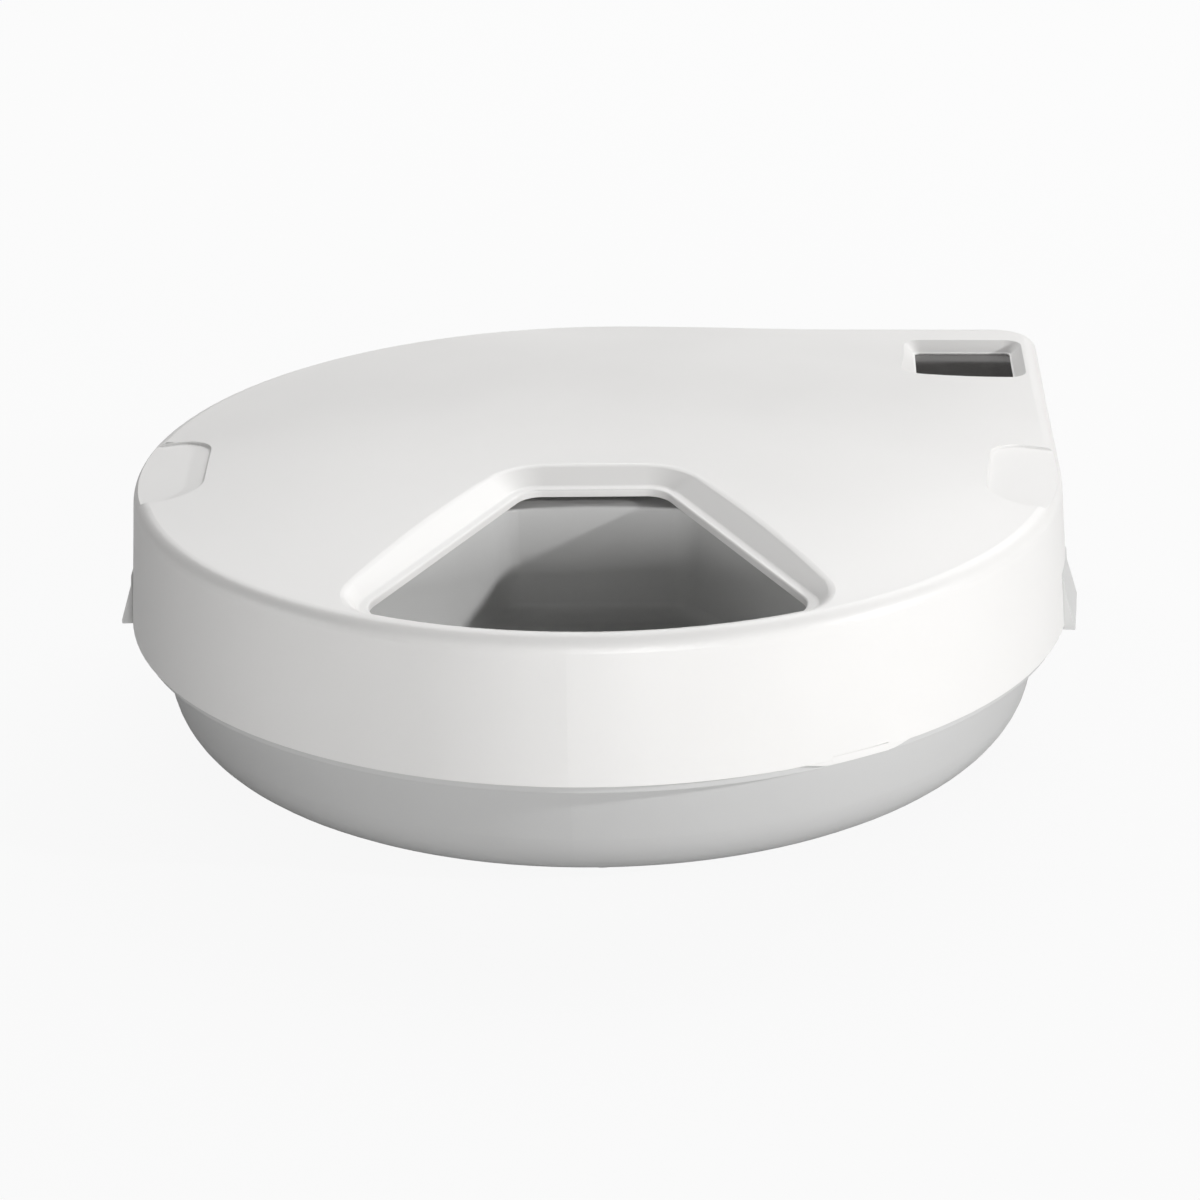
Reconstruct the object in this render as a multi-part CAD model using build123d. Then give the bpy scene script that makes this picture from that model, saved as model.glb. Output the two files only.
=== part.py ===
from build123d import *
import os
from math import asin, atan, cos, pi, radians, sin, sqrt, tan

# Timed wet food feeder in millimetres, +Z up.
# The origin lies on the bowl's axis, level with the surface the feeder stands on.
# The casing is round with one rounded corner towards +X +Y, and the meal opening faces -Y.

# Outline shared by the lid, the tub and the tray
casing_radius = 138.0
casing_corner = 16.0
wall = 2.2
seat_gap = 0.2
running_gap = 0.05
moving_gap = 0.4

# Heights, from the floor up
foot_height = 2.0
foot_radius = 4.0
foot_inset = 18.6
foot_start_angle = -86.5
foot_count = 3
tub_height = 35.4
tub_lip_step = 5.0
tub_corner = 30.0
tub_flare = 12.5
tub_round = 19.5
tub_lip = 2.2
tub_lip_inset = 1.5
mechanism_height = 17.3
tray_wall = 2.0
tray_round = 3.0
ice_height = 17.5
bowl_over_ice = 1.7
bowl_skin = 2.0
bowl_depth = 25.5

# Bowl
bowl_side_gap = 12.0
bowl_draft = 2.0
bowl_rim_width = 3.0
bowl_hub_radius = 39.0
bowl_hub_wall = 3.2
bowl_rise = 7.5
bowl_divider = 6.0
bowl_pocket_draft = 4.0
bowl_pocket_corner = 8.0
bowl_pocket_floor_round = 5.0
bowl_edge = 0.6
bowl_foot_round = 4.0
compartments = 5
bowl_under_lid = 1.6

# Lid
lid_draft = 4.2
lid_rim_round = 4.5
roof_sphere = 958.0
roof_relief = 183.0
opening_angle = -88.0
opening_half_angle = 29.0
opening_inner = 35.0
opening_rim = 9.8
opening_corner = 8.0
opening_edge = 0.6
pan_depth = 4.4
pan_bevel = 7.0
pan_ledge = 2.5
pan_front_slope = 1.0
pan_crest = 2.8
pan_foot = 1.5
window_from_side = 26.8
window_from_back = 36.5
window_width = 30.5
window_length = 31.0
window_corner = 2.0
window_recess = 3.3
window_edge = 0.8
thumb_angle = -5.0
thumb_length = 50.0
thumb_reach = 22.0
thumb_depth = 1.2
thumb_corner = 12.0
thumb_edge = 1.0
lift_tab_angle = -56.5
lift_tab_width = 18.0
lift_tab_drop = 1.2

# Catches on the left and right of the band, hinged at their top edge
catch_width = 26.0
catch_height = 15.4
catch_tip = 2.6
catch_tip_edge = 1.1
catch_tip_slope = 11.0
catch_hang = 1.3
catch_edge = 0.4
catch_barrel = 2.5
catch_pin_radius = 1.0
catch_ear = 3.0

# Drive: a small motor and three spur stages turn the spindle
tooth_module = 1.0
pinion_teeth = 10
wheel_teeth = 32
spindle_teeth = 40
pressure_angle = 25.0
tooth_addendum = 0.8
tooth_dedendum = 1.05
tooth_backlash = 0.2
gear_face = 4.0
gear_step = 4.5
first_gear_rise = 1.3
gear_pin_radius = 1.5
gear_2_angle = 60.0
gear_1_angle = 30.0
motor_angle = 0.0
motor_radius = 12.0
motor_height = 8.6
motor_shaft_radius = 1.0
motor_edge = 0.8
spindle_radius = 5.0
spindle_pin_radius = 2.0
spindle_pin_height = 7.0
spindle_holes = 5
spindle_hole_radius = 3.0
spindle_hole_circle = 12.0
spindle_collar_radius = 9.0
spindle_collar = 3.2
dog_flats = 12.0
dog_height = 14.0
dog_chamfer = 1.0
bush_wall = 3.0
boss_wall = 3.0
cam_radius = 13.0
cam_face = 3.0
cam_notch = 2.2
cover_thickness = 1.6
cover_post_radius = 2.5
cover_post_gap = 3.0
cover_margin = 1.5
switch_width = 12.8
switch_depth = 9.6
switch_height = 8.0
switch_stand = 3.6
switch_lever = 1.0
switch_roller = 1.0

# Batteries under the left half of the tray
cell_count = 3
cell_radius = 7.25
cell_length = 50.5
cell_pitch = 15.0
cell_knob = 1.2
cell_knob_radius = 2.7
contact_width = 10.0
contact_thickness = 1.6
battery_x = -60.0
battery_side_room = 0.5
battery_end_room = 2.2
battery_top_room = 0.6
battery_wall = 1.4
door_thickness = 1.6
door_lap = 3.0
door_travel = 15.0
grip_count = 5
grip_from_end = 8.0
grip_pitch = 2.4
grip_width = 1.2
grip_length = 18.0
grip_depth = 0.6

# Timer module in the corner
pod_side = 60.0
pod_inset = 8.5
pod_height = 28.6
pod_corner = 8.0
pod_edge = 1.6
board_thickness = 1.6
board_drop = 6.4
display_proud = 0.3
display_from_side = 16.5
display_from_back = 26.0
display_width = 26.0
display_length = 24.0
display_corner = 0.5
button_radius = 3.5
button_count = 4
button_pitch = 13.0
button_from_side = 51.5
button_from_back = 6.9
button_proud = 1.5
button_travel = 0.8
button_air = 0.3
button_flange = 1.0
button_edge = 0.8

# Ice packs
ice_inner = 40.0
ice_wall_gap = 1.2
ice_split = 5.0
ice_round = 3.0
ice_plug_circle = 79.0
ice_plug_radius = 8.0
ice_plug_depth = 3.0
well_draft = 20.0

# Screws
screw_count = 4
screw_inset = 27.1
screw_start_angle = 20.0
screw_shank = 1.5
screw_head = 3.0
screw_head_height = 2.2
screw_pad = 2.4
screw_slot = 3.6
screw_slot_width = 0.8
screw_wall = 2.2

# Levels and places worked out from the sizes above
bowl_radius = casing_radius - bowl_side_gap
floor_top = foot_height + wall
tray_under = floor_top + mechanism_height
tray_floor = tray_under + tray_wall
tub_top = foot_height + tub_height
tub_foot_radius = (casing_radius - tub_lip_inset - tub_lip_step
                   - (tub_height - tub_lip) * tan(radians(tub_flare)))
foot_circle = tub_foot_radius - foot_inset
screw_circle = tub_foot_radius - screw_inset
ice_bottom = tray_floor + moving_gap
ice_top = ice_bottom + ice_height
bowl_under = ice_top + bowl_over_ice
bowl_floor = bowl_under + bowl_skin
bowl_rim = bowl_floor + bowl_depth
bowl_top = bowl_rim + bowl_rise
lid_bottom = tub_top + seat_gap
roof_slope = asin(bowl_radius / roof_sphere)
roof_at_rim = bowl_rim + bowl_under_lid + wall + pan_depth
roof_apex = roof_at_rim + roof_sphere * (1 - cos(roof_slope))
roof_flat_radius = bowl_radius + roof_relief * sin(roof_slope)
roof_flat = roof_at_rim - roof_relief * (1 - cos(roof_slope))
opening_outer = casing_radius - opening_rim
tray_flange_top = tub_top + tray_wall
tray_flange_radius = casing_radius - wall - 1.4
well_radius = bowl_radius + 1.0
well_foot = well_radius - (tray_flange_top - tray_floor) * tan(radians(well_draft))
pod_outer = casing_radius - pod_inset
display_x = pod_outer - display_from_side
display_y = pod_outer - display_from_back
button_first_x = pod_outer - button_from_side
button_y = pod_outer - button_from_back
window_x = casing_radius - window_from_side
window_y = casing_radius - window_from_back
pod_top = tray_flange_top + pod_height
board_top = pod_top - board_drop
spindle_shoulder = bowl_under + spindle_collar
cell_height = floor_top + cell_radius + battery_top_room
battery_half_x = cell_count * cell_pitch / 2 + battery_side_room
battery_half_y = cell_length / 2 + battery_end_room
screw_seat = foot_height + moving_gap
gear_levels = [floor_top + first_gear_rise + step * gear_step for step in range(3)]
cover_bottom = gear_levels[2] + gear_face + seat_gap
catch_pivot_height = lid_bottom + catch_height - catch_barrel
catch_face = casing_radius - (catch_pivot_height - lid_bottom) * tan(radians(lid_draft))
catch_pivot = catch_face - catch_barrel
catch_pin_length = catch_width + 2 * (moving_gap + catch_ear)


def polar(radius, angle, start=(0, 0)):
    """Plan position at a distance and direction from a starting point."""
    return (start[0] + radius * cos(radians(angle)), start[1] + radius * sin(radians(angle)))


wheel_reach = tooth_module * (wheel_teeth + pinion_teeth) / 2
gear_2_place = polar(tooth_module * (spindle_teeth + pinion_teeth) / 2, gear_2_angle)
gear_1_place = polar(wheel_reach, gear_1_angle, gear_2_place)
motor_place = polar(wheel_reach, motor_angle, gear_1_place)
spindle_tip = tooth_module * (spindle_teeth / 2 + tooth_addendum)
wheel_tip = tooth_module * (wheel_teeth / 2 + tooth_addendum)
post_reach = cover_post_radius + cover_post_gap
cover_posts = [polar(spindle_tip + post_reach, -25), polar(wheel_tip + post_reach, 136, gear_2_place),
               polar(wheel_tip + post_reach, 93, gear_1_place),
               polar(motor_radius + post_reach, -16, motor_place)]
screw_places = [polar(screw_circle, screw_start_angle + n * 360 / screw_count)
                for n in range(screw_count)]
button_places = [button_first_x + n * button_pitch for n in range(button_count)]


def teardrop(radius, corner):
    """Flat outline: three quarters of a circle, then one rounded square corner."""
    straight = radius - corner
    bend = radius - corner * (1 - 1 / sqrt(2))
    side = Line((radius, 0), (radius, straight))
    turn = ThreePointArc((radius, straight), (bend, bend), (straight, radius))
    back = Line((straight, radius), (0, radius))
    left = ThreePointArc((0, radius), (-radius, 0), (0, -radius))
    front = ThreePointArc((0, -radius), (radius / sqrt(2), -radius / sqrt(2)), (radius, 0))
    return make_face([side, turn, back, left, front])


def teardrop_block(radius, corner, low, high, draft=0.0):
    """Upright block on the teardrop outline, narrowing upwards by the draft."""
    return extrude(Pos(0, 0, low) * teardrop(radius, corner), amount=high - low, taper=draft)


def ring(inner, outer, low, high):
    """Upright ring, or a disc where the inner radius is nought."""
    body = Pos(0, 0, (low + high) / 2) * Cylinder(outer, high - low)
    if inner > 0:
        body -= Pos(0, 0, (low + high) / 2) * Cylinder(inner, high - low + 1)
    return body


def block(x_low, x_high, y_low, y_high, low, high):
    """Rectangular block between its six faces."""
    middle = Pos((x_low + x_high) / 2, (y_low + y_high) / 2, (low + high) / 2)
    return middle * Box(x_high - x_low, y_high - y_low, high - low)


def turned(points):
    """Solid of revolution about Z from a closed profile of radius and height pairs."""
    profile = make_face(Polyline([(r, 0, z) for r, z in points], close=True))
    return revolve(profile, axis=Axis.Z)


def around(shape, angle):
    """The shape turned about the bowl's axis."""
    return Rot(0, 0, angle) * shape


def roof_height(radius):
    """Height of the domed roof at a distance from the axis."""
    return roof_apex - roof_sphere + sqrt(roof_sphere ** 2 - radius ** 2)


def under_roof(drop):
    """Everything below the roof: a shallow dome that levels out towards the corner."""
    half = roof_slope / 2
    apex = (0, 0, roof_apex - drop)
    dome_mid = (roof_sphere * sin(half), 0, roof_apex - drop - roof_sphere * (1 - cos(half)))
    join = (bowl_radius, 0, roof_at_rim - drop)
    relief_mid_x = roof_flat_radius - roof_relief * sin(half)
    relief_mid = (relief_mid_x, 0, roof_flat - drop + roof_relief * (1 - cos(half)))
    level = (roof_flat_radius, 0, roof_flat - drop)
    reach = 1.5 * casing_radius
    profile = make_face([
        Line((0, 0, 0), apex),
        ThreePointArc(apex, dome_mid, join),
        ThreePointArc(join, relief_mid, level),
        Line(level, (reach, 0, roof_flat - drop)),
        Line((reach, 0, roof_flat - drop), (reach, 0, 0)),
        Line((reach, 0, 0), (0, 0, 0)),
    ])
    return revolve(profile, axis=Axis.Z)


def rim_edges(solid):
    """Edges where the band turns into the roof."""
    found = []
    for face in solid.faces():
        if abs(face.normal_at(face.center()).Z) > 0.4 and face.geom_type != GeomType.CONE:
            continue
        for edge in face.edges():
            if edge.bounding_box().min.Z > roof_flat - 5 and edge not in found:
                found.append(edge)
    return found


def band_shell(inset, low, drop, rounding):
    """Casing volume above a height, inset from the outside and rounded along the rim."""
    radius = casing_radius - inset
    blank = teardrop_block(radius, casing_corner - inset, low, roof_apex + 5, lid_draft)
    body = (blank & under_roof(drop)).solid()
    edges = [edge for edge in rim_edges(body) if edge.length > 1]
    return fillet(edges, rounding)


def meal_sector(grow, outer):
    """Wedge outline of the meal opening, grown sideways and inwards, with its corners rounded."""
    slope = tan(radians(opening_half_angle))
    shift = grow / cos(radians(opening_half_angle))
    near = opening_inner - grow
    half_near = near * slope + shift
    half_far = casing_radius * slope + shift
    corners = [(near, -half_near), (casing_radius, -half_far),
               (casing_radius, half_far), (near, half_near)]
    outline = make_face(Polyline(corners, close=True)) & Circle(outer)
    outline = fillet([v for v in outline.vertices() if v.X > near + 1], opening_corner + grow / 2)
    return fillet([v for v in outline.vertices() if v.X < near + 1], opening_corner + grow)


def pan_plane(rise):
    """Plane parallel to the sunken pan round the meal opening."""
    near = roof_height(opening_inner) - pan_depth
    far = roof_height(bowl_radius) - pan_depth
    fall = (near - far) / (bowl_radius - opening_inner)
    tilt = atan(fall)
    centre = near + opening_inner * fall
    plane = Plane(origin=(0, 0, centre), x_dir=(cos(tilt), 0, -sin(tilt)),
                  z_dir=(sin(tilt), 0, cos(tilt)))
    return plane.offset(rise)


def pan_wedge(low, high, low_grow, high_grow, front=0.0):
    """Wedge between two planes parallel to the pan, with sloping sides and a steep front."""
    slant = pan_front_slope if high_grow > low_grow else 0.0
    bottom = pan_plane(low) * meal_sector(low_grow, opening_outer + front)
    top = pan_plane(high) * meal_sector(high_grow, opening_outer + front + slant)
    return loft([bottom.face(), top.face()], ruled=True)


def crest_edges(solid):
    """Edges where the sunken pan's sides run out into the roof."""
    found = []
    for edge in solid.edges():
        middle = edge @ 0.5
        radius = sqrt(middle.X ** 2 + middle.Y ** 2)
        on_roof = abs(middle.Z - max(roof_height(radius), roof_at_rim - 1)) < 1
        in_pan = middle.X > opening_inner / 3 and abs(middle.Y) < middle.X
        if on_roof and in_pan and radius < opening_outer + pan_front_slope and edge.length > 1:
            found.append(edge)
    return found


def rounded_block(x_mid, y_mid, width, length, corner, low, high, draft=0.0):
    """Upright block with rounded corners."""
    outline = RectangleRounded(width, length, corner)
    return extrude(Pos(x_mid, y_mid, low) * outline, amount=high - low, taper=draft)


def catch_rod(radius, length, shift=0):
    """Round bar along a catch's hinge line."""
    return Pos(catch_pivot, shift, catch_pivot_height) * Rot(90, 0, 0) * Cylinder(radius, length)


def make_lid():
    outside = band_shell(0, lid_bottom, 0, lid_rim_round)
    inside = band_shell(wall, lid_bottom - 1, wall, lid_rim_round - wall)

    # Sunken pan with rounded bevels round the meal opening
    rise = 2 * pan_depth
    spread = pan_bevel / pan_depth
    well = pan_wedge(0, rise, pan_ledge, pan_ledge + spread * rise)
    well = fillet(well.faces().sort_by(Axis.Z)[0].edges(), pan_foot)
    skin = pan_wedge(-wall, rise, pan_ledge + wall, pan_ledge + spread * rise + wall, wall)
    hole = pan_wedge(-wall - 1, 1, 0, 0, -pan_ledge)
    crown = around(outside, -opening_angle) - well
    crown = fillet(crest_edges(crown), pan_crest)
    crown -= around(inside, -opening_angle) - skin
    crown -= hole
    ledge = [face for face in crown.faces() if face.inner_wires()
             and abs(pan_plane(0).to_local_coords(face.center()).Z) < 0.01][0]
    crown = fillet(ledge.inner_wires()[0].edges(), opening_edge)
    shell = around(crown, opening_angle)

    # Bevelled recess and window for the timer's display
    recess_floor = roof_flat - window_recess
    draft = -45.0
    margin = 0.6
    width = window_width + margin
    length = window_length + margin
    tray = rounded_block(window_x, window_y, width + 2 * wall, length + 2 * wall,
                         window_corner + wall, recess_floor - wall, roof_flat, draft)
    shell += tray & outside
    sunk = rounded_block(window_x, window_y, width, length, window_corner,
                         recess_floor, roof_flat + wall, draft)
    shell -= fillet(sunk.faces().sort_by(Axis.Z)[0].edges(), window_edge)
    shell -= rounded_block(window_x, window_y, window_width, window_length, window_corner,
                           recess_floor - wall - 1, recess_floor + 1)

    # Thumb recesses above the catches, and notches in the band that the catches fill
    for angle in (thumb_angle, 180 - thumb_angle):
        outer = casing_radius + 4
        centre = casing_radius - wall - thumb_reach + outer
        slope = atan(2 * thumb_depth / thumb_reach)
        floor = roof_height(casing_radius - wall - thumb_reach) - thumb_depth
        plane = Plane(origin=(casing_radius - wall - thumb_reach, 0, floor),
                      x_dir=(cos(slope), 0, -sin(slope)), z_dir=(sin(slope), 0, cos(slope)))
        span = thumb_reach + 12
        shape = Pos(span / 2, 0) * RectangleRounded(span, thumb_length, thumb_corner)
        pad = extrude(plane.offset(-wall) * offset(shape, wall), amount=wall + thumb_depth)
        cut = extrude(plane * shape, amount=20)
        cut = fillet(cut.faces().sort_by(Axis.Z)[0].edges(), thumb_edge)
        shell += around(pad, angle) & outside
        shell -= around(cut, angle)
        notch = block(casing_radius - 12, casing_radius + 5, -catch_width / 2 - moving_gap,
                      catch_width / 2 + moving_gap, lid_bottom - 1,
                      lid_bottom + catch_height + moving_gap)
        shell -= around(notch, angle)
        for side in (-1, 1):
            y = side * (catch_width / 2 + moving_gap + catch_ear / 2)
            ear = catch_rod(catch_barrel, catch_ear, y)
            shell += around(ear, angle) & outside
        shell -= around(catch_rod(catch_pin_radius, catch_pin_length), angle)

    # Small lifting tab on the band's lower edge
    tab = block(casing_radius - tub_lip_inset + moving_gap, casing_radius, -lift_tab_width / 2,
                lift_tab_width / 2, lid_bottom - lift_tab_drop, lid_bottom + 1)
    tab &= teardrop_block(casing_radius, casing_corner, lid_bottom - 3, lid_bottom + 1)
    shell += around(tab, lift_tab_angle)
    return shell


def make_display_window():
    """Tinted pane glued into the window of the lid."""
    floor = roof_flat - window_recess
    fit = 2 * running_gap
    return rounded_block(window_x, window_y, window_width - fit, window_length - fit,
                         window_corner - running_gap, floor - wall, floor - moving_gap)


def make_base_tub():
    dish_top = tub_top - tub_lip
    dish = teardrop_block(tub_foot_radius, tub_corner, foot_height, dish_top, -tub_flare)
    dish = fillet(dish.faces().sort_by(Axis.Z)[0].edges(), tub_round)
    lip = teardrop_block(casing_radius - tub_lip_inset, casing_corner, dish_top, tub_top)
    inner_radius = tub_foot_radius - wall + wall * tan(radians(tub_flare))
    hollow = teardrop_block(inner_radius, tub_corner - wall, floor_top, tub_top + 1, -tub_flare)
    hollow = fillet(hollow.faces().sort_by(Axis.Z)[0].edges(), tub_round - wall)
    tub = (dish + lip) - hollow

    # Pin that the spindle turns on, bosses for the gear pins and a collar round the motor
    root = floor_top - wall / 2
    tub += ring(0, spindle_pin_radius - running_gap, root, floor_top + spindle_pin_height)
    for x, y in (gear_2_place, gear_1_place):
        tub += Pos(x, y) * ring(gear_pin_radius, gear_pin_radius + battery_wall, root, floor_top + 1)
    tub += Pos(*motor_place) * ring(motor_radius + seat_gap, motor_radius + seat_gap + battery_wall,
                                    root, floor_top + motor_height / 2)

    # Posts that carry the gearbox cover
    for x, y in cover_posts:
        tub += Pos(x, y) * ring(0, cover_post_radius, root, cover_bottom)

    # Battery box, its opening, and the recess that the door slides in
    half_x = battery_half_x
    half_y = battery_half_y
    box_top = cell_height + cell_radius + battery_top_room
    outer = block(battery_x - half_x - battery_wall, battery_x + half_x + battery_wall,
                  -half_y - battery_wall, half_y + battery_wall, root, box_top)
    pad_low = foot_height + door_thickness + seat_gap
    pad = block(battery_x - half_x - door_lap - wall, battery_x + half_x + door_lap + wall,
                -half_y - door_lap - door_travel - wall, half_y + door_lap + wall,
                foot_height + wall / 4, pad_low + wall)
    inner = block(battery_x - half_x, battery_x + half_x, -half_y, half_y, 0, box_top + 1)
    recess = block(battery_x - half_x - door_lap - seat_gap,
                   battery_x + half_x + door_lap + seat_gap,
                   -half_y - door_lap - door_travel - seat_gap, half_y + door_lap + seat_gap,
                   0, pad_low)
    tub += outer + pad

    # Screw pads with sunk heads under the floor
    for x, y in screw_places:
        tub += Pos(x, y) * ring(0, screw_head + screw_wall, root, floor_top + screw_pad)
        tub -= Pos(x, y) * ring(0, screw_head + moving_gap, 0, screw_seat + screw_head_height)
        tub -= Pos(x, y) * ring(0, screw_shank + seat_gap, 0, floor_top + screw_pad + 1)
    return tub - inner - recess


def make_feet():
    feet = []
    for place in range(foot_count):
        angle = foot_start_angle + place * 360 / foot_count
        foot = Pos(*polar(foot_circle, angle)) * ring(0, foot_radius, 0, foot_height)
        foot = fillet(foot.edges().group_by(Axis.Z)[0], foot_height / 3)
        feet.append(foot)
    return Compound(feet)


def make_inner_tray():
    # Flange on the tub's lip and well for the ice packs
    flange = teardrop_block(tray_flange_radius, casing_corner - wall, tub_top, tray_flange_top)
    outside = turned([(0, tray_under), (well_foot, tray_under),
                      (well_radius + tray_wall, tray_flange_top), (0, tray_flange_top)])
    inside = turned([(0, tray_floor), (well_foot - tray_wall, tray_floor),
                     (well_radius, tray_flange_top + 1), (0, tray_flange_top + 1)])
    inside = fillet(inside.edges().group_by(Axis.Z)[0], tray_round)
    outside = fillet(outside.edges().group_by(Axis.Z)[0], tray_round + tray_wall)
    tray = flange + outside - inside

    # Boss that the spindle bush is pressed into
    boss = spindle_radius + bush_wall
    tray += ring(0, boss + boss_wall, tray_under, ice_top)
    tray -= ring(0, boss, tray_under - 1, ice_top + 1)

    # Posts for the screws
    for x, y in screw_places:
        post = ring(screw_shank, screw_shank + screw_wall, floor_top + screw_pad + seat_gap,
                    tray_under + tray_wall / 2)
        tray += Pos(x, y) * post
        tray -= Pos(x, y) * ring(0, screw_shank, floor_top, tray_under)
    return tray


def pod_block(inset, low, high):
    """Timer pod: the corner of the tray outside the bowl's circle."""
    side = pod_outer - inset
    near = pod_outer - pod_side + inset
    middle = (side + near) / 2
    blank = rounded_block(middle, middle, side - near, side - near, pod_corner - inset, low, high)
    return blank - ring(0, well_radius + tray_wall + 1 + inset, low - 1, high + 1)


def make_pod_cover():
    """Housing of the timer, standing on the tray's flange."""
    roof = pod_top - tray_wall
    cover = pod_block(0, tray_flange_top, pod_top)
    cover = fillet(cover.edges().group_by(Axis.Z)[-1], pod_edge)
    cover -= pod_block(tray_wall, tray_flange_top - 1, roof)
    cover -= rounded_block(display_x, display_y, display_width + seat_gap,
                           display_length + seat_gap, display_corner, roof - 1, pod_top + 1)
    for x in button_places:
        cover -= Pos(x, button_y) * ring(0, button_radius + seat_gap, roof - 1, pod_top + 1)
    return cover


def make_spindle_bush():
    return ring(spindle_radius + running_gap, spindle_radius + bush_wall, tray_under,
                ice_top + bush_wall / 3)


def make_drive_spindle():
    shaft = ring(0, spindle_radius, floor_top + seat_gap, spindle_shoulder)
    collar = ring(0, spindle_collar_radius, spindle_shoulder - spindle_collar, spindle_shoulder)
    hexagon = RegularPolygon(dog_flats / 2, 6, major_radius=False)
    dog = extrude(Pos(0, 0, spindle_shoulder) * hexagon, amount=dog_height)
    dog = chamfer(dog.edges().group_by(Axis.Z)[-1], dog_chamfer)
    socket = ring(0, spindle_pin_radius, floor_top, floor_top + spindle_pin_height + seat_gap)
    return shaft + collar + dog - socket


def flank_radius_angle(radius, base):
    """Angle that an involute has turned through at a radius."""
    roll = sqrt(max((radius / base) ** 2 - 1, 0))
    return roll - atan(roll)


def toothed_disc(teeth, face, phase):
    """Spur gear blank centred on Z, with one tooth on the phase angle."""
    pitch = tooth_module * teeth / 2
    base = pitch * cos(radians(pressure_angle))
    tip = pitch + tooth_addendum * tooth_module
    root = pitch - tooth_dedendum * tooth_module
    half_pitch_angle = pi / (2 * teeth) - tooth_backlash / (2 * pitch)
    zero = half_pitch_angle + flank_radius_angle(pitch, base)
    radii = [max(base, root), pitch, tip]
    points = []
    for tooth in range(teeth):
        centre = radians(phase) + 2 * pi * tooth / teeth
        points.append((root, centre - zero))
        for radius in radii[(0 if base > root else 1):]:
            points.append((radius, centre - zero + flank_radius_angle(radius, base)))
        for radius in reversed(radii[(0 if base > root else 1):]):
            points.append((radius, centre + zero - flank_radius_angle(radius, base)))
        points.append((root, centre + zero))
    outline = [(r * cos(a), r * sin(a)) for r, a in points]
    return extrude(make_face(Polyline(outline, close=True)), amount=face)


def make_spindle_gear():
    disc = toothed_disc(spindle_teeth, gear_face, gear_2_angle)
    disc -= ring(0, spindle_radius, -1, gear_face + 1)
    hole = Pos(spindle_hole_circle, 0) * ring(0, spindle_hole_radius, -1, gear_face + 1)
    for number in range(spindle_holes):
        disc -= around(hole, number * 360 / spindle_holes)
    return Pos(0, 0, gear_levels[0]) * disc


def make_compound_gear(place, level, wheel_phase, pinion_phase):
    """Wheel with the next stage's pinion moulded under it."""
    wheel = Pos(0, 0, gear_step) * toothed_disc(wheel_teeth, gear_face, wheel_phase)
    pinion = toothed_disc(pinion_teeth, gear_step, pinion_phase)
    bore = ring(0, gear_pin_radius + running_gap, -1, gear_step + gear_face + 1)
    return Pos(place[0], place[1], gear_levels[level]) * (wheel + pinion - bore)


def make_gear_2():
    return make_compound_gear(gear_2_place, 0, gear_1_angle,
                              gear_2_angle + 180 + 180 / pinion_teeth)


def make_gear_1():
    return make_compound_gear(gear_1_place, 1, motor_angle,
                              gear_1_angle + 180 + 180 / pinion_teeth)


def make_motor_pinion():
    disc = toothed_disc(pinion_teeth, gear_face, motor_angle + 180 + 180 / pinion_teeth)
    disc -= ring(0, motor_shaft_radius + running_gap, -1, gear_face + 1)
    return Pos(motor_place[0], motor_place[1], gear_levels[2]) * disc


def make_gear_pins():
    pins = []
    for x, y in (gear_2_place, gear_1_place):
        pins.append(Pos(x, y) * ring(0, gear_pin_radius, floor_top, cover_bottom + cover_thickness))
    return Compound(pins)


def make_motor():
    can = ring(0, motor_radius, floor_top, floor_top + motor_height)
    can = fillet(can.edges(), motor_edge)
    shaft = ring(0, motor_shaft_radius, floor_top + motor_height - 1, gear_levels[2] + gear_face)
    return Pos(*motor_place) * (can + shaft)


def make_gearbox_cover():
    low = cover_bottom - 1
    high = cover_bottom + cover_thickness + 1
    rounds = [Pos(*place) * Circle(cover_post_radius + cover_margin) for place in cover_posts]
    rounds.append(Circle(spindle_radius + 2 * cover_margin))
    outline = make_hull([edge for disc in rounds for edge in disc.edges()])
    plate = extrude(Pos(0, 0, cover_bottom) * outline, amount=cover_thickness)
    plate -= ring(0, spindle_radius + moving_gap, low, high)
    for place in (gear_2_place, gear_1_place):
        plate -= Pos(*place) * ring(0, gear_pin_radius, low, high)
    return plate - Pos(*motor_place) * ring(0, 3 * motor_shaft_radius, low, high)


def make_index_cam():
    cam = ring(0, cam_radius, 0, cam_face)
    for notch in range(compartments):
        cam -= around(Pos(cam_radius + cam_notch / 2, 0) * ring(0, cam_notch, -1, cam_face + 1),
                      opening_angle + notch * 360 / compartments)
    cam -= ring(0, spindle_radius, -1, cam_face + 1)
    return Pos(0, 0, gear_levels[2] + 0.5) * cam


def make_position_switch():
    high = cover_bottom - seat_gap
    low = high - switch_height
    half = switch_width / 2
    roller_x = cam_radius + moving_gap + switch_roller
    near = roller_x + switch_roller / 2
    case = near + switch_lever
    body = block(case, case + switch_depth, -half, half, low, high)
    body += block(case + switch_depth - switch_stand, case + switch_depth, -half, half, floor_top, low)
    lever = block(near, case, -half, half / 2, high - cam_face - 1, high - 1)
    roller = Pos(roller_x, -half / 2) * ring(0, switch_roller, high - cam_face - 1, high - 1)
    return around(body + lever + roller, opening_angle)


def make_battery_cells():
    cells = []
    for number in range(cell_count):
        x = battery_x + (number - (cell_count - 1) / 2) * cell_pitch
        can = Pos(0, 0, -cell_knob / 2) * Cylinder(cell_radius, cell_length - cell_knob)
        can = fillet(can.edges(), cell_knob / 2)
        can += Pos(0, 0, (cell_length - cell_knob) / 2) * Cylinder(cell_knob_radius, cell_knob)
        cells.append(Pos(x, 0, cell_height) * Rot(90 - 180 * (number % 2), 0, 0) * can)
    return Compound(cells)


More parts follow.
